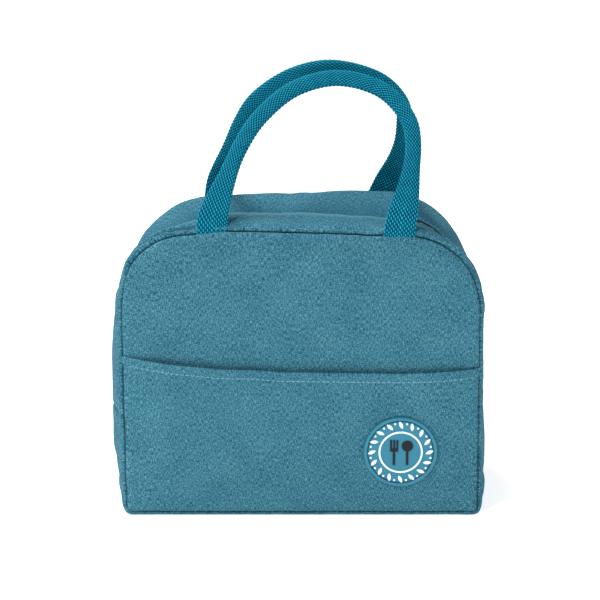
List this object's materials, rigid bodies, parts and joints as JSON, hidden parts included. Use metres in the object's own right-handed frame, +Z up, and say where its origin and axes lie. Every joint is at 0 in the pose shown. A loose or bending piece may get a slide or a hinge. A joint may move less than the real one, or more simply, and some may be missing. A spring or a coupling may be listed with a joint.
{
  "type": "insulated lunch bag",
  "caption": "Soft insulated lunch bag with a rounded top, foil-lined padded walls, a zipped mouth that folds open, a front slip pocket with a round rubber patch, and webbing carry handles.",
  "frame": {"origin": "middle of the footprint of the overall box, on the surface the bag stands on", "axes": "+Z up; -Y towards the front, which has the pocket and patch; +X towards the side that the closed zip's slider rests on"},
  "size_m": [0.2374, 0.1341, 0.2978],
  "materials": {
    "oxford_fabric": "matte",
    "pe_foam": "matte",
    "foil_lining": "polished",
    "seam_binding": "matte",
    "webbing": "satin",
    "zip_tape": "matte",
    "zip_coil": "satin",
    "zip_metal": "polished",
    "patch_rubber": "satin",
    "patch_mark_rubber": "satin",
    "patch_dark_rubber": "satin"
  },
  "bodies": {
    "tub": {"lower_gusset": "oxford_fabric", "lower_gusset_foam": "pe_foam", "lower_gusset_lining": "foil_lining", "front_panel_lower": "oxford_fabric", "front_foam_lower": "pe_foam", "front_lining_lower": "foil_lining", "front_binding_lower": "seam_binding", "back_panel_lower": "oxford_fabric", "back_foam_lower": "pe_foam", "back_lining_lower": "foil_lining", "back_binding_lower": "seam_binding", "zip_strips_lower": "oxford_fabric", "zip_strip_foams_lower": "pe_foam", "zip_strip_linings_lower": "foil_lining", "zip_tapes_lower": "zip_tape", "zip_coils_lower": "zip_coil", "zip_stops": "zip_metal", "front_pocket": "oxford_fabric", "patch_disc": "patch_rubber", "patch_ring": "patch_mark_rubber", "patch_wreath": "patch_mark_rubber", "patch_cutlery": "patch_dark_rubber"},
    "front_upper": {"front_panel_upper": "oxford_fabric", "front_foam_upper": "pe_foam", "front_lining_upper": "foil_lining", "front_binding_upper": "seam_binding", "front_zip_strip": "oxford_fabric", "front_zip_strip_foam": "pe_foam", "front_zip_strip_lining": "foil_lining", "front_zip_tape": "zip_tape", "front_zip_coil": "zip_coil"},
    "back_upper": {"back_panel_upper": "oxford_fabric", "back_foam_upper": "pe_foam", "back_lining_upper": "foil_lining", "back_binding_upper": "seam_binding", "back_zip_strip": "oxford_fabric", "back_zip_strip_foam": "pe_foam", "back_zip_strip_lining": "foil_lining", "back_zip_tape": "zip_tape", "back_zip_coil": "zip_coil"},
    "front_handle": {"front_handle": "webbing"},
    "back_handle": {"back_handle": "webbing"},
    "zip_slider": {"zip_slider": "zip_metal"},
    "zip_pull": {"zip_pull": "zip_metal"}
  },
  "joints": [
    {"name": "front_mouth", "type": "hinge", "parent": "tub", "child": "front_upper", "pos_m": [0, -0.05905, 0.112], "axis": [1, 0, 0], "range_deg": [0, 35]},
    {"name": "back_mouth", "type": "hinge", "parent": "tub", "child": "back_upper", "pos_m": [0, 0.06495, 0.112], "axis": [-1, 0, 0], "range_deg": [0, 35]},
    {"name": "front_handle_swing", "type": "hinge", "parent": "front_upper", "child": "front_handle", "pos_m": [0, -0.06025, 0.197], "axis": [1, 0, 0], "range_deg": [0, 190]},
    {"name": "back_handle_swing", "type": "hinge", "parent": "back_upper", "child": "back_handle", "pos_m": [0, 0.06615, 0.197], "axis": [-1, 0, 0], "range_deg": [0, 190]},
    {"name": "zip_slide", "type": "slide", "parent": "tub", "child": "zip_slider", "axis": [0, 0, 1], "range_m": [0, 0.055]},
    {"name": "zip_pull_swing", "type": "hinge", "parent": "zip_slider", "child": "zip_pull", "pos_m": [0.11705, 0.00295, 0.081], "axis": [0, -1, 0], "range_deg": [0, 170]}
  ]
}
